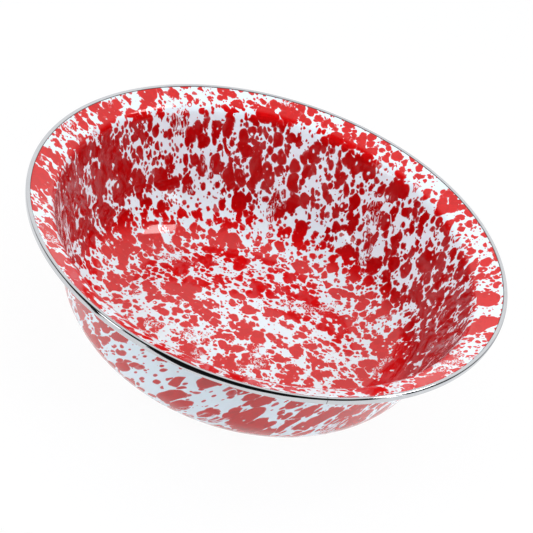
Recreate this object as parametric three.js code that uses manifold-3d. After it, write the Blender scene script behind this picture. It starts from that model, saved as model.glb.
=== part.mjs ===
// A serving bowl of drawn sheet steel, coated with glass enamel inside and out, with a bright stainless
// strip closed round its rim. Millimetres, +Z up. The bowl stands on z = 0 with its axis on Z.

import * as THREE from "three";
import { mergeVertices } from "three/addons/utils/BufferGeometryUtils.js";
import Module from "manifold-3d";

// Overall size
const RIM_RADIUS = 149; // outermost, on the rim band
const HEIGHT = 87.2; // from the table to the top of the rim band

// Drawn steel. Its radii are those of its underside.
const STEEL_THICKNESS = 0.6;
const BASE_RADIUS = 73.3; // flat part of the base
const CORNER_RADIUS = 46.7; // between base and wall
const BEND_RADIUS = 8; // between wall and flange
const FLANGE_WIDTH = 10.4; // from the rim's outermost circle in to the centre of the bend
const FLANGE_DROP = 14.6; // from the top of the rim down to the centre of the bend
const CURL_RADIUS = 0.2; // inside the curled edge
const HEM_LENGTH = 2.3; // straight end of the sheet, below the curl

// Enamel coats, fused to the steel
const INNER_COAT = 0.3;
const OUTER_COAT = 0.3;
const FUSED_GAP = 0.05; // keeps the facets of coat and steel apart

// Rim band, a strip bent to a hook section
const STRIP_THICKNESS = 0.35;
const BAND_GAP = 0.1; // between the strip and the curled edge inside it
const LIP_LENGTH = 0.8; // straight leg of the strip on top of the flange
const LIP_GAP = 0.4; // bare ground between the lip and the enamel
const HOOK_RADIUS = 0.2; // inside the lower bend of the strip
const HOOK_LENGTH = 0.5; // straight leg of the strip under the hem
const SEAM_GAP = 0.3; // where the two ends of the strip meet
const SEAM_ANGLE = THREE.MathUtils.degToRad(-67); // about Z, from +X

// Facets
const SEGMENTS = 48; // round the bowl
const CORNER_STEPS = 8;
const BEND_STEPS = 4;
const CURL_STEPS = 6;
const HOOK_STEPS = 2;

// Finishes
const ENAMEL = { color: 0xf1f6fb, roughness: 0.08, metalness: 0 };
const GROUND_COATED_STEEL = { color: 0x2b2a2c, roughness: 0.45, metalness: 0.6 };
const POLISHED_STAINLESS = { color: 0xc9ccd2, roughness: 0.15, metalness: 1 };

const LEFT = 1; // the section turns about a centre inside the bowl
const RIGHT = -1; // the section turns about a centre below or outside
const DOWN = -Math.PI / 2;
const INWARD = -Math.PI;

// Underside of the steel, as arcs in the plane of radius x and height z. Going from the axis outwards,
// the section turns up at the corner, out at the bend and down at the curl.
const bandReach = CURL_RADIUS + STEEL_THICKNESS + BAND_GAP + STRIP_THICKNESS;
const baseLevel = OUTER_COAT + FUSED_GAP;
const bendX = RIM_RADIUS - FLANGE_WIDTH;
const bendZ = HEIGHT - FLANGE_DROP;

// The corner is at most so large that it runs into the bend with no straight wall between them.
function largestCornerRadius() {
  const across = bendX - BASE_RADIUS;
  const rise = bendZ - baseLevel;
  return (across ** 2 + rise ** 2 - BEND_RADIUS ** 2) / (2 * (rise + BEND_RADIUS));
}

const cornerRadius = Math.min(CORNER_RADIUS, largestCornerRadius());
const corner = {
  x: BASE_RADIUS,
  z: baseLevel + cornerRadius,
  radius: cornerRadius,
  turn: LEFT,
  steps: CORNER_STEPS,
};
const bend = { x: bendX, z: bendZ, radius: BEND_RADIUS, turn: RIGHT, steps: BEND_STEPS };
const curl = {
  x: RIM_RADIUS - bandReach,
  z: HEIGHT - bandReach,
  radius: CURL_RADIUS,
  turn: RIGHT,
  steps: CURL_STEPS,
};

// Heading of the straight line that leaves one arc and joins the next without a kink.
function tangentHeading(from, to) {
  const across = to.x - from.x;
  const rise = to.z - from.z;
  const offAxis = (to.turn * to.radius - from.turn * from.radius) / Math.hypot(across, rise);
  return Math.atan2(rise, across) - Math.asin(THREE.MathUtils.clamp(offAxis, -1, 1));
}

const wallHeading = tangentHeading(corner, bend);
const flangeHeading = tangentHeading(bend, curl);

// Point that lies at a heading on an arc, moved by an offset to the left of the section's path.
function pointOnArc(arc, heading, offset) {
  const reach = offset - arc.turn * arc.radius;
  return new THREE.Vector2(arc.x - reach * Math.sin(heading), arc.z + reach * Math.cos(heading));
}

// Points along one arc, from the heading where it starts to the heading where it ends.
function arcPoints(arc, start, end, offset) {
  return Array.from({ length: arc.steps + 1 }, (_, step) =>
    pointOnArc(arc, THREE.MathUtils.lerp(start, end, step / arc.steps), offset),
  );
}

// A point moved straight on by a distance at a heading.
function goOn(point, heading, distance) {
  return new THREE.Vector2(point.x + distance * Math.cos(heading), point.y + distance * Math.sin(heading));
}

// Surface of the bowl at an offset above the steel's underside, from the axis to the end of the bend.
function bowlSurface(offset) {
  return [
    new THREE.Vector2(0, baseLevel + offset),
    ...arcPoints(corner, 0, wallHeading, offset),
    ...arcPoints(bend, wallHeading, flangeHeading, offset),
  ];
}

// The same surface, on along the flange and round the curl to the end of the hem.
function steelSurface(offset) {
  const turned = arcPoints(curl, flangeHeading, DOWN, offset);
  return [...bowlSurface(offset), ...turned, goOn(turned.at(-1), DOWN, HEM_LENGTH)];
}

// The same surface, ended on the flange just short of the rim band's lip.
function coatSurface(offset) {
  const lipRoot = pointOnArc(curl, flangeHeading, offset);
  return [...bowlSurface(offset), goOn(lipRoot, flangeHeading, -LIP_LENGTH - LIP_GAP)];
}

// One face of the strip: along the flange, over the curl, down the hem and hooked under its end.
function stripSurface(offset) {
  const over = arcPoints(curl, flangeHeading, DOWN, offset);
  const innerFace = CURL_RADIUS + STEEL_THICKNESS + BAND_GAP;
  const hook = {
    x: curl.x + innerFace - HOOK_RADIUS,
    z: curl.z - HEM_LENGTH - BAND_GAP + HOOK_RADIUS,
    radius: HOOK_RADIUS,
    turn: RIGHT,
    steps: HOOK_STEPS,
  };
  const under = arcPoints(hook, DOWN, INWARD, offset - innerFace + CURL_RADIUS);
  return [
    goOn(over[0], flangeHeading, -LIP_LENGTH),
    ...over,
    ...under,
    goOn(under.at(-1), INWARD, HOOK_LENGTH),
  ];
}

// Solid of revolution about Z between a lower surface and an upper one.
function turnedSolid(lower, upper) {
  const section = [...lower, ...upper.toReversed()];
  if (section[0].x > 0) {
    section.push(section[0].clone());
  }
  return new THREE.LatheGeometry(section, SEGMENTS).rotateX(Math.PI / 2);
}

const wasm = await Module();
wasm.setup();

// A closed geometry as a solid that can be cut.
function solidOf(geometry) {
  const bare = geometry.clone().deleteAttribute("normal").deleteAttribute("uv");
  const merged = mergeVertices(bare);
  return new wasm.Manifold(
    new wasm.Mesh({
      numProp: 3,
      vertProperties: merged.attributes.position.array,
      triVerts: new Uint32Array(merged.index.array),
    }),
  );
}

// A cut solid as a geometry again.
function geometryOf(solid) {
  const mesh = solid.getMesh();
  const geometry = new THREE.BufferGeometry();
  geometry.setAttribute("position", new THREE.BufferAttribute(mesh.vertProperties, 3));
  geometry.setIndex(new THREE.BufferAttribute(mesh.triVerts, 1));
  geometry.computeVertexNormals();
  return geometry;
}

function buildSteelBody() {
  return turnedSolid(steelSurface(0), steelSurface(STEEL_THICKNESS));
}

function buildInnerEnamel() {
  const seat = STEEL_THICKNESS + FUSED_GAP;
  return turnedSolid(coatSurface(seat), coatSurface(seat + INNER_COAT));
}

function buildOuterEnamel() {
  return turnedSolid(coatSurface(-FUSED_GAP - OUTER_COAT), coatSurface(-FUSED_GAP));
}

// The strip is a full ring with a narrow slot cut through it, where its ends meet.
function buildRimBand() {
  const seat = STEEL_THICKNESS + BAND_GAP;
  const ring = turnedSolid(stripSurface(seat), stripSurface(seat + STRIP_THICKNESS));
  const slot = new THREE.BoxGeometry(2 * FLANGE_WIDTH, SEAM_GAP, 2 * HEIGHT);
  slot.translate(RIM_RADIUS, 0, HEIGHT).rotateZ(SEAM_ANGLE);
  return geometryOf(solidOf(ring).subtract(solidOf(slot)));
}

function piece(name, geometry, finish) {
  const mesh = new THREE.Mesh(geometry, new THREE.MeshStandardMaterial(finish));
  mesh.name = name;
  return mesh;
}

const bowl = new THREE.Group();
bowl.name = "serving_bowl";
bowl.add(
  piece("steel_body", buildSteelBody(), GROUND_COATED_STEEL),
  piece("inner_enamel", buildInnerEnamel(), ENAMEL),
  piece("outer_enamel", buildOuterEnamel(), ENAMEL),
  piece("rim_band", buildRimBand(), POLISHED_STAINLESS),
);

export default bowl;
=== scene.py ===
"""Dresses a serving bowl of drawn steel: two coats of splatter enamel and a bright strip round the rim."""

import logging
import math
from dataclasses import dataclass, field
from enum import Enum

import bpy
from mathutils import Matrix, Vector


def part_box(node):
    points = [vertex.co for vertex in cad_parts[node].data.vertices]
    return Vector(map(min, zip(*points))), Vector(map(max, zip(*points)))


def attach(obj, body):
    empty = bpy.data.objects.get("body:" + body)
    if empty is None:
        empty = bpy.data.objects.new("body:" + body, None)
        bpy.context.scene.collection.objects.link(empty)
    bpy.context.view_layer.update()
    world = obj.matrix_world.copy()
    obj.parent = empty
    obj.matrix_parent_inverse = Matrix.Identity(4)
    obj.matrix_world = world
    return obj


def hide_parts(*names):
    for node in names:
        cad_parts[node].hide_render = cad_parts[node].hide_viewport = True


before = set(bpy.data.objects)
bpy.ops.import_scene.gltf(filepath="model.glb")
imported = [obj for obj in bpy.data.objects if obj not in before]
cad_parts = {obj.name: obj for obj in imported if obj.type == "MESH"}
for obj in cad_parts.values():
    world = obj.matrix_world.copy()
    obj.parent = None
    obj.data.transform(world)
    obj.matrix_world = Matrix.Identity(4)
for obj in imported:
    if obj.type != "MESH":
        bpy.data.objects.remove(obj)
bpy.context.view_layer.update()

LOG = logging.getLogger("serving_bowl")

MILLIMETRE = 0.001  # in Blender's metres
BODY = "root"
DOWN = -math.pi / 2  # heading of a section that runs down
INWARD = -math.pi  # heading of a section that runs towards the axis

NOISE_MIDDLE = 0.5  # usual value of a noise
NOISE_RANGE = (0.3, 0.7)  # where nearly all values of a noise lie
LEAST_STEPS = 4  # along an arc

Point = tuple[float, float]
Tree = bpy.types.NodeTree
Wire = bpy.types.Node | bpy.types.NodeSocket  # what an input can be linked to


def linear(hex_code: str) -> tuple[float, float, float, float]:
    """Turns an sRGB colour into the linear one that shaders take.

    Args:
        hex_code: the colour as six hex digits.

    Returns:
        Linear red, green and blue, and an alpha of 1.
    """
    shares = [int(hex_code[start : start + 2], 16) / 255 for start in (0, 2, 4)]
    red, green, blue = (s / 12.92 if s <= 0.04045 else ((s + 0.055) / 1.055) ** 2.4 for s in shares)
    return red, green, blue, 1.0


def add_node(tree: Tree, kind: str, inputs: dict | None = None, **settings) -> bpy.types.Node:
    """Adds a node with its settings, and fills or links its inputs.

    Args:
        tree: the node tree that gets the node.
        kind: Blender's name for the type of node.
        inputs: for each input, by its name or number, a value, an output socket or a node, which gives its
            first output.
        settings: the node's own properties, such as operation="ADD".

    Returns:
        The new node.
    """
    node = tree.nodes.new(kind)
    for name, value in settings.items():
        setattr(node, name, value)
    for name, value in (inputs or {}).items():
        source = value.outputs[0] if isinstance(value, bpy.types.Node) else value
        if isinstance(source, bpy.types.NodeSocket):
            tree.links.new(source, node.inputs[name])
        else:
            node.inputs[name].default_value = source
    return node


def new_material(name: str) -> tuple[bpy.types.Material, Tree]:
    """Makes an empty material.

    Args:
        name: what the material is.

    Returns:
        The material and its node tree.
    """
    material = bpy.data.materials.new(name)
    material.use_nodes = True
    material.node_tree.nodes.clear()
    return material, material.node_tree


def mottled(
    name: str, colours: tuple[str, str], spacing: float, detail: float, surface: dict[str, float],
) -> bpy.types.Material:
    """Makes a finish whose colour wanders between two.

    Args:
        name: what the material is.
        colours: the two colours.
        spacing: millimetres from blotch to blotch.
        detail: how finely the blotches are broken up.
        surface: the shader's other values, such as its roughness.

    Returns:
        The material.
    """
    material, tree = new_material(name)
    place = add_node(tree, "ShaderNodeTexCoord").outputs["Object"]
    scale = 1 / (spacing * MILLIMETRE)
    noise = add_node(tree, "ShaderNodeTexNoise", {"Vector": place, "Scale": scale, "Detail": detail})
    first, second = map(linear, colours)
    colour = add_node(tree, "ShaderNodeMix", {0: noise, 6: first, 7: second}, data_type="RGBA")
    shader = add_node(tree, "ShaderNodeBsdfPrincipled", {"Base Color": colour.outputs[2], **surface})
    add_node(tree, "ShaderNodeOutputMaterial", {"Surface": shader})
    return material


class Coat(Enum):
    """The two glass coats of the bowl, by the CAD node that each stands for."""

    INNER = "inner_enamel"
    OUTER = "outer_enamel"


class Turn(Enum):
    """The side to which a section bends as it runs outwards from the axis."""

    LEFT = 1
    RIGHT = -1


@dataclass(frozen=True)
class Drops:
    """One throw of glass, as drops of a like size.

    Attributes:
        spacing: millimetres from drop to drop.
        smallest: radius of the smallest drop over the spacing; below zero, a share of the drops is missing.
        largest: radius of the largest drop over the spacing.
    """

    spacing: float
    smallest: float
    largest: float


@dataclass(frozen=True)
class SplatterEnamel:
    """Vitreous enamel on steel: a white cover coat with red thrown over it, fired to a gloss.

    The eye gets a hard, clear gloss with a slightly uneven mirror image, blue-white glass, and red drops
    with rounded outlines that run together, deeper where they overlap, deeper on the wall as painted shade,
    and pink where washed thin.
    """

    name: str
    seed: float
    white: str = "e5eff3"
    red: str = "d40c0e"
    deep_red_and_shade: str = "a80305"
    throws: tuple[Drops, ...] = (
        Drops(12.0, -0.45, 0.6),
        Drops(8.5, -0.14, 0.66),
        Drops(6.0, -0.08, 0.69),
        Drops(4.0, -0.1, 0.68),
        Drops(2.0, -0.42, 0.6),
    )
    flange_throw: Drops = Drops(17.0, 0.05, 0.72)  # broad patches on the flange alone
    flange_height: float = 76.0  # millimetres
    flange_blur: float = 3.0  # and how far above and below that the wall becomes the flange
    wall: tuple[float, float] = (9.0, 24.0)  # millimetres of height over which the floor becomes the wall, and the wall's painted shade sets in
    painted_wall_shade: float = 0.85  # painted shade: how much of the red on the wall is deep, so the wall looks darker than the floor and flange
    overlap_depth: float = 0.25  # and of the red that lies double
    overlap_edge: tuple[float, float] = (-0.3, 0.6)  # millimetres inside both drops over which that sets in
    specks: Drops = Drops(3.0, -1.2, 0.3)  # white that fell on the red
    run: float = 1.6  # how many times longer than wide a drop is along the wall
    lean: tuple[float, float, float] = (0.1, -0.25, 0.0)  # radians that the runs lean off the axis
    lump: float = 7.0  # millimetres from bulge to bulge of a drop's outline
    lump_reach: float = 1.7
    ragged: float = 2.0  # millimetres from tooth to tooth of its edge
    ragged_reach: float = 0.2
    melt: float = 0.4  # millimetres of fillet where two drops have run together
    patch: float = 60.0  # millimetres between places where much red fell
    patch_strength: float = 0.1
    sides: tuple[float, float] = (60.0, 140.0)  # millimetres aside over which more red fell on the wall
    sides_strength: float = 0.14
    flange_sides: tuple[float, float] = (-0.45, 0.0)  # and the like for the broad patches on the flange
    outline_blur: float = 0.06  # millimetres to either side of a drop's outline
    thin_edge: float = 0.5  # millimetres over which the red thins out to its edge
    thin_cover: float = 0.86  # how much it hides the white there
    wash: float = 22.0  # millimetres between places where the red was washed thin
    wash_edge: tuple[float, float] = (0.63, 0.68)  # values of the noise over which such a place begins
    feather: float = 1.0  # millimetres across one pale streak of such a place
    feather_run: tuple[float, float, float] = (1.0, 1.7, 5.0)  # how many times longer it is along each axis
    feather_edge: tuple[float, float] = (0.5, 0.56)  # values of the noise over which a streak begins
    feather_pale: float = 0.85  # how much red is missing in it
    feather_swirl: float = 0.5
    roughness: float = 0.06
    ior: float = 1.5
    peel: float = 5.0  # millimetres between the swellings of the fired surface
    peel_height: float = 0.004
    drop_height: float = 0.015  # millimetres that a drop stands above the white
    drop_edge: tuple[float, float] = (-0.3, 0.7)  # millimetres inside a drop over which it rises

    def material(self) -> bpy.types.Material:
        """Builds the enamel.

        Returns:
            The material.
        """
        material, tree = new_material(self.name)
        metres = {0: add_node(tree, "ShaderNodeTexCoord").outputs["Object"], "Scale": 1 / MILLIMETRE}
        place = add_node(tree, "ShaderNodeVectorMath", metres, operation="SCALE")
        thrown = self._thrown(tree, place)
        depth, deep_and_shade = self._red(tree, place, thrown)
        cover = self._cover(tree, thrown, depth)
        white, red, deep_red_and_shade = map(linear, (self.white, self.red, self.deep_red_and_shade))
        # deep red where red lies double, and as painted shade on the wall
        reds = add_node(tree, "ShaderNodeMix", {0: deep_and_shade, 6: red, 7: deep_red_and_shade}, data_type="RGBA")
        colour = add_node(tree, "ShaderNodeMix", {0: cover, 6: white, 7: reds.outputs[2]}, data_type="RGBA")
        glass = add_node(
            tree, "ShaderNodeBsdfPrincipled",
            {
                "Base Color": colour.outputs[2], "Roughness": self.roughness, "IOR": self.ior,
                "Normal": self._relief(tree, place, depth),
            },
        )
        add_node(tree, "ShaderNodeOutputMaterial", {"Surface": glass})
        return material

    def _thrown(self, tree: Tree, place: Wire) -> Wire:
        """Bends the places on the bowl, so that round cells become drops that ran and spread.

        Args:
            tree: the material's nodes.
            place: place on the bowl in millimetres.

        Returns:
            The bent place in millimetres.
        """
        along = add_node(
            tree, "ShaderNodeMapping",
            {
                "Vector": place, "Location": (self.seed,) * 3, "Rotation": self.lean,
                "Scale": (1.0, 1.0, self.run),
            },
            vector_type="TEXTURE",
        )
        thrown = along
        for spacing, reach in ((self.lump, self.lump_reach), (self.ragged, self.ragged_reach)):
            bulges = {"Vector": along, "Scale": 1 / spacing, "Detail": 1.0}
            noise = add_node(tree, "ShaderNodeTexNoise", bulges)
            spread = {0: noise.outputs["Color"], 1: (NOISE_MIDDLE,) * 3}
            centred = add_node(tree, "ShaderNodeVectorMath", spread, operation="SUBTRACT")
            bent = {0: centred, 1: (2 * reach,) * 3, 2: thrown}
            thrown = add_node(tree, "ShaderNodeVectorMath", bent, operation="MULTIPLY_ADD")
        return thrown

    def _throw(self, tree: Tree, thrown: Wire, drops: Drops, more: Wire | float) -> Wire:
        """Builds one throw of drops.

        Args:
            tree: the material's nodes.
            thrown: bent place in millimetres.
            drops: the sizes of the drops.
            more: added to each drop's radius over the spacing.

        Returns:
            Millimetres inside a drop, below zero between the drops.
        """
        cells = add_node(tree, "ShaderNodeTexVoronoi", {"Vector": thrown, "Scale": 1 / drops.spacing})
        chance = add_node(tree, "ShaderNodeSeparateColor", {0: cells.outputs["Color"]})
        sizes = {"Value": chance, "To Min": drops.smallest, "To Max": drops.largest}
        radius = add_node(tree, "ShaderNodeMapRange", sizes)
        grown = add_node(tree, "ShaderNodeMath", {0: radius, 1: more})
        centre = cells.outputs["Distance"]
        inside = add_node(tree, "ShaderNodeMath", {0: grown, 1: centre}, operation="SUBTRACT")
        return add_node(tree, "ShaderNodeMath", {0: inside, 1: drops.spacing}, operation="MULTIPLY")

    def _red(self, tree: Tree, place: Wire, thrown: Wire) -> tuple[Wire, Wire]:
        """Lays all throws of red over each other, and the white specks over them.

        Args:
            tree: the material's nodes.
            place: place on the bowl in millimetres.
            thrown: bent place in millimetres.

        Returns:
            Millimetres inside the red, below zero in the white, and the share of deep red, where red lies
            double and as painted shade on the wall.
        """
        places = {"Vector": place, "Scale": 1 / self.patch, "Detail": 1.0}
        patches = add_node(tree, "ShaderNodeTexNoise", places)
        patch = add_node(
            tree, "ShaderNodeMapRange",
            {
                "Value": patches, "From Min": NOISE_RANGE[0], "From Max": NOISE_RANGE[1],
                "To Min": -self.patch_strength, "To Max": self.patch_strength,
            },
        )
        across, _, height = add_node(tree, "ShaderNodeSeparateXYZ", {0: place}).outputs
        aside = add_node(tree, "ShaderNodeMath", {0: across}, operation="ABSOLUTE")
        span = {"Value": aside, "From Min": self.sides[0], "From Max": self.sides[1]}
        side = add_node(tree, "ShaderNodeMapRange", {**span, "To Max": self.sides_strength})
        low, high = self.flange_height - self.flange_blur, self.flange_height + self.flange_blur
        on_flange = add_node(
            tree, "ShaderNodeMapRange",
            {"Value": height, "From Min": low, "From Max": high, "To Min": -1.0, "To Max": 0.0},
        )
        wall_side = add_node(tree, "ShaderNodeMath", {0: side, 1: on_flange}, operation="MULTIPLY")
        more = add_node(tree, "ShaderNodeMath", {0: patch, 1: wall_side}, operation="SUBTRACT")
        in_middle, at_sides = self.flange_sides
        flange_side = add_node(tree, "ShaderNodeMapRange", {**span, "To Min": in_middle, "To Max": at_sides})
        flange_more = add_node(tree, "ShaderNodeMath", {0: on_flange, 1: flange_side})
        layers = [self._throw(tree, thrown, drops, more) for drops in self.throws]
        layers.append(self._throw(tree, thrown, self.flange_throw, flange_more))
        depth = layers[0]
        overlap = None
        for layer in layers[1:]:
            least = add_node(tree, "ShaderNodeMath", {0: depth, 1: layer}, operation="MINIMUM")
            if overlap is None:
                overlap = least
            else:
                overlap = add_node(tree, "ShaderNodeMath", {0: overlap, 1: least}, operation="MAXIMUM")
            both = {0: depth, 1: layer, 2: self.melt}
            depth = add_node(tree, "ShaderNodeMath", both, operation="SMOOTH_MAX")
        shares = []
        for value, edge, most in (
            (overlap, self.overlap_edge, self.overlap_depth),
            (height, self.wall, self.painted_wall_shade),
        ):
            span = {"Value": value, "From Min": edge[0], "From Max": edge[1], "To Max": most}
            shares.append(add_node(tree, "ShaderNodeMapRange", span, interpolation_type="SMOOTHSTEP"))
        # painted shade: the red on the wall is made deeper than on the floor and flange
        painted_shade_on_wall = add_node(tree, "ShaderNodeMath", {0: shares[1], 1: on_flange}, operation="MULTIPLY")
        deep_and_shade = add_node(tree, "ShaderNodeMath", {0: shares[0], 1: painted_shade_on_wall}, operation="SUBTRACT")
        speck = self._throw(tree, thrown, self.specks, 0.0)
        off = add_node(tree, "ShaderNodeMath", {0: speck, 1: -1.0}, operation="MULTIPLY")
        return add_node(tree, "ShaderNodeMath", {0: depth, 1: off}, operation="MINIMUM"), deep_and_shade

    def _cover(self, tree: Tree, thrown: Wire, depth: Wire) -> Wire:
        """Finds how much the red hides the white.

        Args:
            tree: the material's nodes.
            thrown: bent place in millimetres.
            depth: millimetres inside the red.

        Returns:
            A share from 0 for white to 1 for full red.
        """
        thinned = {"Value": depth, "From Max": self.thin_edge, "To Min": self.thin_cover, "To Max": 1.0}
        thick = add_node(tree, "ShaderNodeMapRange", thinned)
        places = {"Vector": thrown, "Scale": 1 / self.wash, "Detail": 1.0}
        washes = add_node(tree, "ShaderNodeTexNoise", places)
        run = {"Vector": thrown, "Scale": self.feather_run}
        drawn = add_node(tree, "ShaderNodeMapping", run, vector_type="TEXTURE")
        feathers = add_node(
            tree, "ShaderNodeTexNoise",
            {"Vector": drawn, "Scale": 1 / self.feather, "Detail": 2.0, "Distortion": self.feather_swirl},
        )
        shares = []
        for value, edge, most in (
            (depth, (-self.outline_blur, self.outline_blur), 1.0),
            (washes, self.wash_edge, 1.0),
            (feathers, self.feather_edge, self.feather_pale),
        ):
            span = {"Value": value, "From Min": edge[0], "From Max": edge[1], "To Max": most}
            shares.append(add_node(tree, "ShaderNodeMapRange", span, interpolation_type="SMOOTHSTEP"))
        inside, washed, streak = shares
        pale = add_node(tree, "ShaderNodeMath", {0: washed, 1: streak}, operation="MULTIPLY")
        kept = add_node(tree, "ShaderNodeMath", {0: 1.0, 1: pale}, operation="SUBTRACT")
        full = add_node(tree, "ShaderNodeMath", {0: thick, 1: kept}, operation="MULTIPLY")
        return add_node(tree, "ShaderNodeMath", {0: inside, 1: full}, operation="MULTIPLY")

    def _relief(self, tree: Tree, place: Wire, depth: Wire) -> Wire:
        """Lets the drops stand up a little and the fired surface swell a little.

        Args:
            tree: the material's nodes.
            place: place on the bowl in millimetres.
            depth: millimetres inside the red.

        Returns:
            The shading normal.
        """
        swell = add_node(tree, "ShaderNodeTexNoise", {"Vector": place, "Scale": 1 / self.peel, "Detail": 1.0})
        swollen = add_node(tree, "ShaderNodeMath", {0: swell, 1: self.peel_height}, operation="MULTIPLY")
        low, high = self.drop_edge
        span = {"Value": depth, "From Min": low, "From Max": high, "To Max": self.drop_height}
        raised = add_node(tree, "ShaderNodeMapRange", span, interpolation_type="SMOOTHSTEP")
        height = add_node(tree, "ShaderNodeMath", {0: swollen, 1: raised})
        return add_node(tree, "ShaderNodeBump", {"Height": height, "Strength": 1.0, "Distance": MILLIMETRE})


@dataclass(frozen=True)
class GroundCoat:
    """Ground coat on steel: the thin dark enamel under the cover coat, bare in a line along the rim strip.

    The eye gets a brown-black line with a dull gloss.
    """

    name: str = "ground_coat_on_steel"
    dark: str = "2b211f"
    brown: str = "4a3530"
    roughness: float = 0.35
    ior: float = 1.5
    blotch: float = 4.0  # millimetres

    def material(self) -> bpy.types.Material:
        """Builds the ground coat."""
        surface = {"Roughness": self.roughness, "IOR": self.ior}
        return mottled(self.name, (self.dark, self.brown), self.blotch, 2.0, surface)


@dataclass(frozen=True)
class PolishedStainless:
    """Polished stainless steel strip, rolled on: a bright mirror with fine lines along the strip.

    The eye gets the white room and the dark room as hard bands, a little softened across the strip.
    """

    name: str = "polished_stainless"
    steel: str = "d4d6d9"
    smear: str = "c3c6ca"
    roughness: float = 0.06
    smear_length: float = 9.0  # millimetres

    def material(self) -> bpy.types.Material:
        """Builds the polished steel."""
        surface = {"Metallic": 1.0, "Roughness": self.roughness}
        return mottled(self.name, (self.steel, self.smear), self.smear_length, 3.0, surface)


@dataclass(frozen=True)
class Arc:
    """One round stretch of the bowl's section, about a centre at radius x and height z, in millimetres."""

    x: float
    z: float
    radius: float
    turn: Turn

    def point(self, heading: float, offset: float) -> Point:
        """Finds the point that lies at a heading on the arc.

        Args:
            heading: direction of the section there, in radians above outwards.
            offset: millimetres to the left of the section's path.

        Returns:
            The point's radius and height in millimetres.
        """
        reach = offset - self.turn.value * self.radius
        return self.x - reach * math.sin(heading), self.z + reach * math.cos(heading)

    def points(self, start: float, end: float, offset: float, step: float) -> list[Point]:
        """Walks along the arc.

        Args:
            start: heading where the walk starts.
            end: heading where it ends.
            offset: millimetres to the left of the section's path.
            step: longest distance between two points.

        Returns:
            The points, with both ends.
        """
        reach = abs(offset - self.turn.value * self.radius)
        count = max(LEAST_STEPS, math.ceil(reach * abs(end - start) / step))
        return [self.point(start + (end - start) * index / count, offset) for index in range(count + 1)]

    def heading_to(self, other: "Arc") -> float:
        """Finds the line that leaves this arc and joins another without a kink.

        Args:
            other: the next arc of the section.

        Returns:
            The line's heading in radians.
        """
        across, rise = other.x - self.x, other.z - self.z
        off_axis = other.turn.value * other.radius - self.turn.value * self.radius
        return math.atan2(rise, across) - math.asin(off_axis / math.hypot(across, rise))


def straight(start: Point, end: Point, step: float) -> list[Point]:
    """Walks along a straight stretch of the section.

    Args:
        start: the first point, which is left out.
        end: the last point, which is kept.
        step: longest distance between two points.

    Returns:
        The points.
    """
    count = max(1, math.ceil(math.dist(start, end) / step))
    return [
        (start[0] + (end[0] - start[0]) * index / count, start[1] + (end[1] - start[1]) * index / count)
        for index in range(1, count + 1)
    ]


def moved(point: Point, heading: float, distance: float) -> Point:
    """Moves a point straight on by a distance at a heading."""
    return point[0] + distance * math.cos(heading), point[1] + distance * math.sin(heading)


@dataclass
class BowlSection:
    """The bowl's section, as the underside of its steel, in millimetres."""

    rim_radius: float
    height: float
    steel: float = 0.6
    base_radius: float = 73.3
    corner_radius: float = 46.7
    bend_radius: float = 8.0
    flange_width: float = 10.4
    flange_drop: float = 14.6
    curl_radius: float = 0.2
    hem: float = 2.3
    hem_lean: float = math.radians(9)  # that the hem turns in from its top to its end
    coat: float = 0.3
    fused_gap: float = 0.05
    strip: float = 0.35
    band_gap: float = 0.1
    lip: float = 0.8
    lip_gap: float = 0.4
    corner: Arc = field(init=False)
    bend: Arc = field(init=False)
    curl: Arc = field(init=False)
    barrel: Arc = field(init=False)

    def __post_init__(self) -> None:
        """Places the arcs of the section."""
        reach = self.curl_radius + self.steel + self.band_gap + self.strip
        base = self.coat + self.fused_gap
        self.corner = Arc(self.base_radius, base + self.corner_radius, self.corner_radius, Turn.LEFT)
        self.bend = Arc(
            self.rim_radius - self.flange_width, self.height - self.flange_drop, self.bend_radius, Turn.RIGHT,
        )
        self.curl = Arc(self.rim_radius - reach, self.height - reach, self.curl_radius, Turn.RIGHT)
        bulge = self.hem / self.hem_lean
        self.barrel = Arc(self.curl.x + self.curl_radius - bulge, self.curl.z, bulge, Turn.RIGHT)

    @property
    def wall_heading(self) -> float:
        """Heading of the wall, in radians above outwards."""
        return self.corner.heading_to(self.bend)

    @property
    def flange_heading(self) -> float:
        """Heading of the flange, in radians above outwards."""
        return self.bend.heading_to(self.curl)

    @property
    def hem_heading(self) -> float:
        """Heading of the hem at its end."""
        return DOWN - self.hem_lean

    def rim(self, offset: float, step: float) -> list[Point]:
        """Walks a surface over the curled edge and down the hem.

        Args:
            offset: millimetres above the steel's underside.
            step: longest distance between two points.

        Returns:
            The points.
        """
        curl = self.curl.points(self.flange_heading, DOWN, offset, step)
        return [*curl, *self.barrel.points(DOWN, self.hem_heading, offset, step)[1:]]

    def bowl(self, offset: float, step: float) -> list[Point]:
        """Walks a surface of the bowl from the axis to the end of the bend.

        Args:
            offset: millimetres above the steel's underside.
            step: longest distance between two points.

        Returns:
            The points.
        """
        corner = self.corner.points(0.0, self.wall_heading, offset, step)
        bend = self.bend.points(self.wall_heading, self.flange_heading, offset, step)
        centre = (0.0, corner[0][1])
        return [
            centre,
            *straight(centre, corner[0], step),
            *corner[1:],
            *straight(corner[-1], bend[0], step),
            *bend[1:],
        ]

    def coated(self, offset: float, step: float, short: float) -> list[Point]:
        """Walks a surface of the bowl on to where a coat ends, short of the rim strip's lip.

        Args:
            offset: millimetres above the steel's underside.
            step: longest distance between two points.
            short: how much earlier than the coat's very end the walk ends.

        Returns:
            The points.
        """
        bowl = self.bowl(offset, step)
        lip_root = self.curl.point(self.flange_heading, offset)
        end = moved(lip_root, self.flange_heading, -self.lip - self.lip_gap - short)
        return [*bowl, *straight(bowl[-1], end, step)]


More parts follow.
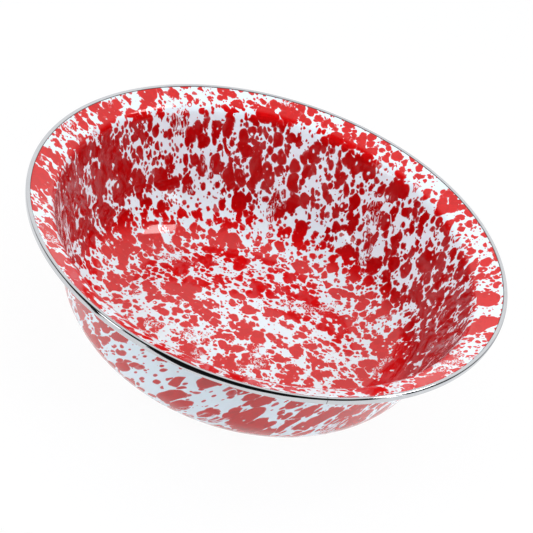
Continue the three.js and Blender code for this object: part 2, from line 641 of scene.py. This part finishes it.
class TurningTree:
    """Geometry nodes that turn a section about the bowl's axis.

    The section is a mesh whose points follow its outline, with the radius as x and the height as z. The tree
    lays a grid along the outline and round the axis, closes its seam and poles, and lets the fired surface
    sag a little.
    """

    GLAZED = "glazed"  # attribute of the section's points: 1 where the surface is a free one
    INPUTS = {
        "Section": "NodeSocketGeometry",
        "Segments": "NodeSocketInt",
        "Start": "NodeSocketFloat",
        "Sweep": "NodeSocketFloat",
        "Closed Outline": "NodeSocketBool",
        "Wave Length": "NodeSocketFloat",
        "Wave Depth": "NodeSocketFloat",
        "Seed": "NodeSocketFloat",
        "Material": "NodeSocketMaterial",
    }
    MERGE = 1e-6  # metres
    SHARP = math.radians(40)

    def __init__(self) -> None:
        """Builds the tree."""
        self.tree = tree = bpy.data.node_groups.new("turned_section", "GeometryNodeTree")
        for name, kind in self.INPUTS.items():
            tree.interface.new_socket(name, in_out="INPUT", socket_type=kind)
        tree.interface.new_socket("Solid", in_out="OUTPUT", socket_type="NodeSocketGeometry")
        given = add_node(tree, "NodeGroupInput").outputs
        turned = self._turned(given)
        sagged = self._sagged(given, turned)
        closed = self._with_ends(given, sagged)
        smooth = add_node(tree, "GeometryNodeSetShadeSmooth", {0: closed}, domain="FACE")
        angle = add_node(tree, "GeometryNodeInputMeshEdgeAngle")
        sharp = add_node(tree, "FunctionNodeCompare", {0: angle, 1: self.SHARP}, operation="GREATER_THAN")
        edged = add_node(tree, "GeometryNodeSetShadeSmooth", {0: smooth, 1: sharp, 2: False}, domain="EDGE")
        real = add_node(tree, "GeometryNodeRealizeInstances", {0: edged})
        finish = {"Geometry": real, "Material": given["Material"]}
        dressed = add_node(tree, "GeometryNodeSetMaterial", finish)
        add_node(tree, "NodeGroupOutput", {0: dressed})

    def _turned(self, given: bpy.types.bpy_prop_collection) -> Wire:
        """Lays the grid and rolls it round the axis.

        Args:
            given: the tree's inputs.

        Returns:
            The turned surface.
        """
        tree = self.tree
        outline = given["Section"]
        segments = given["Segments"]
        points = add_node(tree, "GeometryNodeAttributeDomainSize", {0: outline}).outputs["Point Count"]
        closing = {0: points, 1: given["Closed Outline"]}
        rows = add_node(tree, "FunctionNodeIntegerMath", closing, operation="ADD")
        columns = add_node(tree, "FunctionNodeIntegerMath", {0: segments, 1: 1}, operation="ADD")
        grid = add_node(tree, "GeometryNodeMeshGrid", {"Vertices X": rows, "Vertices Y": columns})
        index = add_node(tree, "GeometryNodeInputIndex")
        row = add_node(tree, "FunctionNodeIntegerMath", {0: index, 1: columns}, operation="DIVIDE")
        column = add_node(tree, "FunctionNodeIntegerMath", {0: index, 1: columns}, operation="MODULO")
        on_outline = add_node(tree, "FunctionNodeIntegerMath", {0: row, 1: points}, operation="MODULO")
        position = add_node(tree, "GeometryNodeInputPosition")
        name = {"Name": self.GLAZED}
        attribute = add_node(tree, "GeometryNodeInputNamedAttribute", name, data_type="FLOAT")
        samples = []
        for value, kind in ((position, "FLOAT_VECTOR"), (attribute, "FLOAT")):
            wanted = {"Geometry": outline, "Value": value, "Index": on_outline}
            samples.append(add_node(tree, "GeometryNodeSampleIndex", wanted, data_type=kind))
        place, glazed = samples
        share = add_node(tree, "ShaderNodeMath", {0: column, 1: segments}, operation="DIVIDE")
        way_round = {0: share, 1: given["Sweep"], 2: given["Start"]}
        angle = add_node(tree, "ShaderNodeMath", way_round, operation="MULTIPLY_ADD")
        round_axis = add_node(
            tree, "ShaderNodeVectorRotate", {"Vector": place, "Angle": angle}, rotation_type="Z_AXIS",
        )
        rolled = add_node(tree, "GeometryNodeSetPosition", {"Geometry": grid, "Position": round_axis})
        marks = {"Geometry": rolled, "Name": self.GLAZED, "Value": glazed}
        marked = add_node(tree, "GeometryNodeStoreNamedAttribute", marks, data_type="FLOAT")
        merged = add_node(tree, "GeometryNodeMergeByDistance", {"Geometry": marked, "Distance": self.MERGE})
        return add_node(tree, "GeometryNodeFlipFaces", {0: merged})

    def _sagged(self, given: bpy.types.bpy_prop_collection, turned: Wire) -> Wire:
        """Sinks the free surface by a soft unevenness, never outwards.

        Args:
            given: the tree's inputs.
            turned: the turned surface.

        Returns:
            The uneven surface.
        """
        tree = self.tree
        frequency = add_node(tree, "ShaderNodeMath", {0: 1.0, 1: given["Wave Length"]}, operation="DIVIDE")
        waves = {"W": given["Seed"], "Scale": frequency, "Detail": 1.0}
        noise = add_node(tree, "ShaderNodeTexNoise", waves, noise_dimensions="4D")
        glazed = add_node(tree, "GeometryNodeInputNamedAttribute", {"Name": self.GLAZED}, data_type="FLOAT")
        sunk = noise
        for factor in (given["Wave Depth"], glazed, -1.0):
            sunk = add_node(tree, "ShaderNodeMath", {0: sunk, 1: factor}, operation="MULTIPLY")
        normal = add_node(tree, "GeometryNodeInputNormal")
        offset = add_node(tree, "ShaderNodeVectorMath", {0: normal, "Scale": sunk}, operation="SCALE")
        return add_node(tree, "GeometryNodeSetPosition", {"Geometry": turned, "Offset": offset})

    def _with_ends(self, given: bpy.types.bpy_prop_collection, sagged: Wire) -> Wire:
        """Closes the two ends of a strip that doesn't go all the way round.

        Args:
            given: the tree's inputs.
            sagged: the turned surface.

        Returns:
            The closed solid.
        """
        tree = self.tree
        end = add_node(tree, "ShaderNodeMath", {0: given["Start"], 1: given["Sweep"]})
        caps = []
        for angle in (given["Start"], end):
            rotation = add_node(tree, "ShaderNodeCombineXYZ", {"Z": angle})
            turned = {"Geometry": given["Section"], "Rotation": rotation}
            caps.append(add_node(tree, "GeometryNodeTransform", turned))
        caps[1] = add_node(tree, "GeometryNodeFlipFaces", {0: caps[1]})
        joined = add_node(tree, "GeometryNodeJoinGeometry", {0: sagged})
        for cap in caps:
            tree.links.new(cap.outputs[0], joined.inputs[0])
        merged = add_node(tree, "GeometryNodeMergeByDistance", {"Geometry": joined, "Distance": self.MERGE})
        choice = {"Switch": given["Closed Outline"], "False": sagged, "True": merged}
        return add_node(tree, "GeometryNodeSwitch", choice, input_type="GEOMETRY")

    def turn(
        self, name: str, outline: list[Point], glazed: list[float], material: bpy.types.Material, **sizes,
    ) -> bpy.types.Object:
        """Turns one section to a plain mesh.

        Args:
            name: the piece's name.
            outline: radius and height of each point in millimetres, anticlockwise.
            glazed: for each point, 1 where the surface is free and may be uneven.
            material: the piece's finish.
            sizes: values for the tree's inputs, with underscores for spaces.

        Returns:
            The piece, with its place in its mesh.
        """
        mesh = bpy.data.meshes.new(name + "_section")
        points = [(radius * MILLIMETRE, 0.0, height * MILLIMETRE) for radius, height in outline]
        closed = sizes.get("Closed_Outline", False)
        edges = [] if closed else [(index, index + 1) for index in range(len(points) - 1)]
        mesh.from_pydata(points, edges, [range(len(points))] if closed else [])
        mesh.attributes.new(self.GLAZED, "FLOAT", "POINT").data.foreach_set("value", glazed)
        piece = bpy.data.objects.new(name, mesh)
        bpy.context.scene.collection.objects.link(piece)
        modifier = piece.modifiers.new("turned_section", "NODES")
        modifier.node_group = self.tree
        values = {"Material": material, **{key.replace("_", " "): value for key, value in sizes.items()}}
        for socket in self.tree.interface.items_tree:
            if socket.name in values:
                modifier[socket.identifier] = values[socket.name]
        evaluated = piece.evaluated_get(bpy.context.evaluated_depsgraph_get())
        solid = bpy.data.meshes.new_from_object(evaluated)
        solid.name = name
        solid.attributes.remove(solid.attributes[self.GLAZED])
        piece.modifiers.remove(modifier)
        piece.data = solid
        bpy.data.meshes.remove(mesh)
        return piece


def enter(piece: bpy.types.Object, node: str) -> None:
    """Lets a piece stand for a CAD node, and reports it.

    Args:
        piece: the finished piece.
        node: the CAD node.
    """
    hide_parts(node)
    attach(piece, BODY)
    LOG.info("%s: %d faces, stands for %s", piece.name, len(piece.data.polygons), node)


@dataclass
class EnamelCoat:
    """One of the two glass coats, with a rounded end under the rim."""

    section: BowlSection
    coat: Coat
    finish: SplatterEnamel
    name: str
    step: float = 1.5  # millimetres along the free surface
    hidden_step: float = 6.0  # and along the one that is fused to the steel
    nose_steps: int = 5
    segments: int = 288
    wave_length: float = 32.0
    wave_depth: float = 0.06

    def outline(self) -> tuple[list[Point], list[float]]:
        """Walks round the coat's section.

        Returns:
            The points, anticlockwise, and which of them are free.
        """
        section = self.section
        if self.coat is Coat.INNER:
            low = section.steel + section.fused_gap
            steps = (self.hidden_step, self.step)
        else:
            low = -section.fused_gap - section.coat
            steps = (self.step, self.hidden_step)
        nose = section.coat / 2
        lower = section.coated(low, steps[0], nose)
        upper = section.coated(low + section.coat, steps[1], nose)
        middle = section.coated(low + nose, self.hidden_step, nose)[-1]
        heading = section.flange_heading
        turns = [math.pi * index / self.nose_steps - math.pi / 2 for index in range(1, self.nose_steps)]
        end = [moved(middle, heading + turn, nose) for turn in turns]
        free = float(self.coat is Coat.INNER)
        below, above = [1.0 - free] * (len(lower) - 1), [free] * (len(upper) - 1)
        return [*lower, *end, *reversed(upper)], [*below, *[0.0] * (len(end) + 2), *above]

    def build(self, lathe: TurningTree) -> bpy.types.Object:
        """Turns the coat and gives it its enamel.

        Args:
            lathe: the tree that turns sections.

        Returns:
            The coat.
        """
        outline, glazed = self.outline()
        piece = lathe.turn(
            self.name, outline, glazed, self.finish.material(),
            Segments=self.segments, Start=0.0, Sweep=math.tau, Closed_Outline=False, Seed=self.finish.seed,
            Wave_Length=self.wave_length * MILLIMETRE, Wave_Depth=self.wave_depth * MILLIMETRE,
        )
        enter(piece, self.coat.value)
        return piece


@dataclass
class SteelBody:
    """The drawn steel, of which only a line of ground coat shows beside the rim strip."""

    section: BowlSection
    finish: GroundCoat
    name: str = "ground_coated_body"
    step: float = 6.0
    curl_step: float = 0.3
    segments: int = 288

    def surface(self, offset: float) -> list[Point]:
        """Walks one face of the sheet from the axis to the end of the hem.

        Args:
            offset: millimetres above the steel's underside.

        Returns:
            The points.
        """
        section = self.section
        bowl = section.bowl(offset, self.step)
        rim = section.rim(offset, self.curl_step)
        return [*bowl, *straight(bowl[-1], rim[0], self.step), *rim[1:]]

    def build(self, lathe: TurningTree) -> bpy.types.Object:
        """Turns the body and gives it its ground coat.

        Args:
            lathe: the tree that turns sections.

        Returns:
            The body.
        """
        outline = [*self.surface(0.0), *reversed(self.surface(self.section.steel))]
        piece = lathe.turn(
            self.name, outline, [0.0] * len(outline), self.finish.material(),
            Segments=self.segments, Start=0.0, Sweep=math.tau, Closed_Outline=False,
            Wave_Length=1.0, Wave_Depth=0.0,
        )
        enter(piece, "steel_body")
        return piece


@dataclass
class RimBand:
    """The bright strip, bent to a hook section and closed round the curled edge with one butt seam."""

    section: BowlSection
    finish: PolishedStainless
    name: str = "stainless_rim_strip"
    hook_radius: float = 0.2
    hook_length: float = 0.5
    seam_angle: float = math.radians(-67)
    seam_gap: float = 0.3
    step: float = 0.18
    segments: int = 360
    wave_length: float = 22.0
    wave_depth: float = 0.02
    wave_seed: float = 3.0

    def surface(self, offset: float) -> list[Point]:
        """Walks one face of the strip, from its lip to its hook.

        Args:
            offset: millimetres above the steel's underside.

        Returns:
            The points.
        """
        section = self.section
        over = section.rim(offset, self.step)
        heading = section.hem_heading
        seat = section.steel + section.band_gap
        hem_end = moved(section.barrel.point(heading, seat), heading, section.band_gap)
        centre = moved(hem_end, heading - math.pi / 2, self.hook_radius)
        under = Arc(*centre, self.hook_radius, Turn.RIGHT).points(heading, INWARD, offset - seat, self.step)
        lip = moved(over[0], section.flange_heading, -section.lip)
        return [lip, *over, *under, moved(under[-1], INWARD, self.hook_length)]

    def build(self, lathe: TurningTree) -> bpy.types.Object:
        """Turns the strip, open at its seam, and gives it its polish.

        Args:
            lathe: the tree that turns sections.

        Returns:
            The strip.
        """
        section = self.section
        seat = section.steel + section.band_gap
        inner, outer = self.surface(seat), self.surface(seat + section.strip)
        glazed = [0.0] * len(inner) + [1.0] * len(outer)
        gap = self.seam_gap / section.rim_radius
        piece = lathe.turn(
            self.name, [*inner, *reversed(outer)], glazed, self.finish.material(), Segments=self.segments,
            Start=self.seam_angle + gap / 2, Sweep=math.tau - gap, Closed_Outline=True, Seed=self.wave_seed,
            Wave_Length=self.wave_length * MILLIMETRE, Wave_Depth=self.wave_depth * MILLIMETRE,
        )
        enter(piece, "rim_band")
        return piece


def direction(azimuth: float, elevation: float) -> Vector:
    """Finds a direction from the bowl.

    Args:
        azimuth: degrees to the right of straight behind the bowl.
        elevation: degrees above the table.

    Returns:
        The direction, of length 1.
    """
    across, up = math.radians(azimuth), math.radians(elevation)
    return Vector((math.sin(across) * math.cos(up), math.cos(across) * math.cos(up), math.sin(up)))


@dataclass
class Softbox:
    """A lamp behind a white cloth, aimed at the bowl.

    Attributes:
        name: where it hangs.
        azimuth: degrees to the right of straight behind the bowl.
        elevation: degrees above the table.
        distance: metres from the bowl.
        size: width and height in metres.
        brightness: how bright its cloth is, where 1 is white.
        mirrored: whether the bowl's gloss shows it.
        colour: colour of its light.
    """

    name: str
    azimuth: float
    elevation: float
    distance: float
    size: tuple[float, float]
    brightness: float
    mirrored: bool = True
    colour: str = "ffffff"

    def build(self) -> bpy.types.Object:
        """Hangs the softbox.

        Returns:
            The lamp.
        """
        towards = direction(self.azimuth, self.elevation)
        lamp = bpy.data.lights.new(self.name, "AREA")
        lamp.shape = "RECTANGLE"
        lamp.size, lamp.size_y = self.size
        lamp.color = linear(self.colour)[:3]
        lamp.energy = self.brightness * math.pi * self.size[0] * self.size[1]
        box = bpy.data.objects.new(self.name, lamp)
        box.location = towards * self.distance
        box.rotation_euler = towards.to_track_quat("Z", "Y").to_euler()
        box.visible_camera = False
        box.visible_glossy = self.mirrored
        bpy.context.scene.collection.objects.link(box)
        return box


@dataclass
class Studio:
    """A white table and sweep, softboxes, a dark card to the left, a dark room on the camera's side, and a
    painted shadow of the bowl on the table to its left.
    """

    softboxes: tuple[Softbox, ...] = (
        Softbox("right_core", 60.0, 55.0, 1.6, (0.3, 0.35), 9.0),
        Softbox("right_strip", 108.0, 24.0, 1.6, (0.2, 0.8), 3.0),
        Softbox("left_strip", -132.0, 13.0, 1.6, (0.3, 0.7), 3.5),
        Softbox("ceiling_fill", 0.0, 90.0, 1.9, (1.2, 1.2), 1.9, mirrored=False),
        Softbox("front_fill", 180.0, 30.0, 2.0, (1.8, 1.2), 1.75, mirrored=False, colour="eaf4ff"),
        Softbox("left_fill", -115.0, 32.0, 2.0, (1.0, 1.2), 4.6, mirrored=False, colour="eaf4ff"),
        Softbox("right_fill", 110.0, 34.0, 2.0, (1.0, 1.2), 4.4, mirrored=False, colour="eaf4ff"),
    )
    sweep: float = 1.05  # brightness of the white sweep behind and above the bowl
    room: float = 0.004  # brightness of the dark room
    sweep_azimuth: float = -12.0  # degrees to the right of straight behind, for the middle of the sweep
    sweep_elevation: float = 32.0  # degrees above the table
    sweep_edge: tuple[float, float] = (0.3, 0.75)  # share of that direction over which the sweep fades in
    card_azimuth: float = -112.0  # degrees, for the middle of a dark card to the left
    card_elevation: float = 18.0
    card_edge: tuple[float, float] = (0.8, 0.98)  # share of that direction over which the card fades in
    table_reach: float = 8.0  # metres
    table_white: str = "f4f5f6"
    table_glow: float = 0.95  # share of the table that is plain white to the eye
    # colour of the dark floor in front, and of the painted shadow of the bowl to the left
    dark_floor_and_painted_shadow: str = "161616"
    floor_corners: tuple[Point, ...] = (
        (-4.6, -8.0), (7.6, -8.0), (7.6, -5.8), (0.36, -0.51), (0.19, -0.34), (0.09, -0.235), (0.0, -0.229),
        (-0.045, -0.208), (-0.1, -0.222),
    )  # metres, of the dark floor in front
    painted_shadow_corners: tuple[Point, ...] = (
        (-0.15, -0.155), (-0.163, -0.199), (-3.25, -2.6), (-4.0, -1.1), (-1.26, -0.4), (-0.22, -0.165),
    )  # and of a dark floor to the left, which is a painted shadow of the bowl on the table for the gloss to show
    floor_lift: float = 0.0002

    def build(self) -> None:
        """Sets up the table, the sweep and the lamps."""
        scene = bpy.context.scene
        scene.view_settings.view_transform = "Standard"
        for softbox in self.softboxes:
            softbox.build()
        self._sweep(scene)
        self._table(scene)

    def _sweep(self, scene: bpy.types.Scene) -> None:
        """Makes the world: a white sweep behind the bowl, a dark card and room, and plain white to the eye.

        Args:
            scene: the scene.
        """
        scene.world = bpy.data.worlds.new("studio")
        scene.world.use_nodes = True
        tree = scene.world.node_tree
        tree.nodes.clear()
        outwards = add_node(tree, "ShaderNodeTexCoord").outputs["Generated"]
        places = (
            (self.sweep_azimuth, self.sweep_elevation, self.sweep_edge, self.room, self.sweep),
            (self.card_azimuth, self.card_elevation, self.card_edge, 1.0, 0.0),
        )
        shares = []
        for azimuth, elevation, edge, around, middle in places:
            towards = {0: outwards, 1: direction(azimuth, elevation)}
            near = add_node(tree, "ShaderNodeVectorMath", towards, operation="DOT_PRODUCT")
            share = add_node(
                tree, "ShaderNodeMapRange",
                {
                    "Value": near.outputs["Value"], "From Min": edge[0], "From Max": edge[1],
                    "To Min": around, "To Max": middle,
                },
                interpolation_type="SMOOTHSTEP",
            )
            shares.append(share)
        strength = add_node(tree, "ShaderNodeMath", {0: shares[0], 1: shares[1]}, operation="MULTIPLY")
        lit = add_node(tree, "ShaderNodeBackground", {"Strength": strength})
        seen = add_node(tree, "ShaderNodeBackground", {"Strength": 1.0})
        for node in (lit, seen):
            node.inputs["Color"].default_value = (1.0, 1.0, 1.0, 1.0)
        eye = add_node(tree, "ShaderNodeLightPath").outputs["Is Camera Ray"]
        mixed = add_node(tree, "ShaderNodeMixShader", {0: eye, 1: lit, 2: seen})
        add_node(tree, "ShaderNodeOutputWorld", {"Surface": mixed})

    def _table(self, scene: bpy.types.Scene) -> None:
        """Makes the white table, which keeps the bowl's shadow, a dark floor on the camera's side, and a dark
        floor to the left that is a painted shadow of the bowl.

        Args:
            scene: the scene.
        """
        far = self.table_reach
        all_round = ((-far, -far), (far, -far), (far, far), (-far, far))
        floors = (
            ("white_table", all_round, 0.0, self.table_white, self.table_glow, True),
            ("dark_floor", self.floor_corners, self.floor_lift, self.dark_floor_and_painted_shadow, 1.0, False),
            # painted shadow: a dark floor where the bowl's shadow falls on the table to the left, since the
            # table stays white in the gloss
            ("painted_bowl_shadow", self.painted_shadow_corners[::-1], self.floor_lift, self.dark_floor_and_painted_shadow, 1.0, False),
        )
        for name, corners, level, colour, glow, mirrored in floors:
            mesh = bpy.data.meshes.new(name)
            mesh.from_pydata([(x, y, level) for x, y in corners], [], [range(len(corners))])
            mesh.materials.append(self._floor_material(name, colour, glow, mirrored))
            floor = bpy.data.objects.new(name, mesh)
            scene.collection.objects.link(floor)

    def _floor_material(self, name: str, colour: str, glow: float, mirrored: bool) -> bpy.types.Material:
        """Makes a floor of a plain colour that the eye sees as white, to a share.

        Args:
            name: what the floor is.
            colour: its colour to the light.
            glow: share of it that is plain white to the eye.
            mirrored: whether it is so in a mirror image too.

        Returns:
            The material.
        """
        material, tree = new_material(name)
        plain = add_node(tree, "ShaderNodeBsdfDiffuse", {"Color": linear(colour)})
        white = add_node(tree, "ShaderNodeEmission", {"Color": (1.0, 1.0, 1.0, 1.0), "Strength": 1.0})
        rays = add_node(tree, "ShaderNodeLightPath").outputs
        eye = rays["Is Camera Ray"]
        if mirrored:
            for ray in ("Is Glossy Ray", "Is Transmission Ray"):
                eye = add_node(tree, "ShaderNodeMath", {0: eye, 1: rays[ray]}, operation="MAXIMUM")
        share = add_node(tree, "ShaderNodeMath", {0: eye, 1: glow}, operation="MULTIPLY")
        mixed = add_node(tree, "ShaderNodeMixShader", {0: share, 1: plain, 2: white})
        add_node(tree, "ShaderNodeOutputMaterial", {"Surface": mixed})
        return material


@dataclass
class PhotoCamera:
    """The camera at the photograph's viewing angle, worked out from the rim's outline in the photograph."""

    place: tuple[float, float, float] = (4.5, -741.0, 601.7)  # millimetres
    pitch: float = 36.41  # degrees that it looks down
    roll: float = 19.02  # degrees that it is turned about its line of sight
    focal_pixels: float = 1500.0
    image_pixels: float = 533.0
    sensor: float = 36.0  # millimetres

    def build(self) -> bpy.types.Object:
        """Sets up the camera.

        Returns:
            The camera.
        """
        data = bpy.data.cameras.new("photo_camera")
        data.sensor_width = self.sensor
        data.lens = self.focal_pixels / self.image_pixels * self.sensor
        camera = bpy.data.objects.new("photo_camera", data)
        looking = Matrix.Rotation(math.radians(90 - self.pitch), 4, "X")
        turned = Matrix.Rotation(math.radians(self.roll), 4, "Z")
        camera.matrix_world = Matrix.Translation(Vector(self.place) * MILLIMETRE) @ looking @ turned
        bpy.context.scene.collection.objects.link(camera)
        bpy.context.scene.camera = camera
        return camera


def main() -> None:
    """Builds the studio and the bowl's pieces in order."""
    logging.basicConfig(level=logging.INFO, format="%(name)s: %(message)s")
    PhotoCamera().build()
    Studio().build()
    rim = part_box("rim_band")[1] / MILLIMETRE
    section = BowlSection(rim_radius=rim.x, height=rim.z)
    lathe = TurningTree()
    SteelBody(section, GroundCoat()).build(lathe)
    inside = SplatterEnamel("splatter_enamel_inside", seed=33.0)
    # painted shade: the outside's wall gets deeper red too, less than the inside's
    outside = SplatterEnamel(
        "splatter_enamel_outside", seed=71.0, run=2.6, lean=(0.3, 0.6, 0.0), painted_wall_shade=0.3,
        sides_strength=0.0,
        throws=(
            Drops(11.0, 0.05, 0.68), Drops(7.0, -0.05, 0.66), Drops(4.5, -0.3, 0.64), Drops(2.2, -0.6, 0.54),
        ),
    )
    EnamelCoat(section, Coat.INNER, inside, "inner_splatter_enamel").build(lathe)
    EnamelCoat(section, Coat.OUTER, outside, "outer_splatter_enamel").build(lathe)
    RimBand(section, PolishedStainless()).build(lathe)


if __name__ == "__main__":
    main()
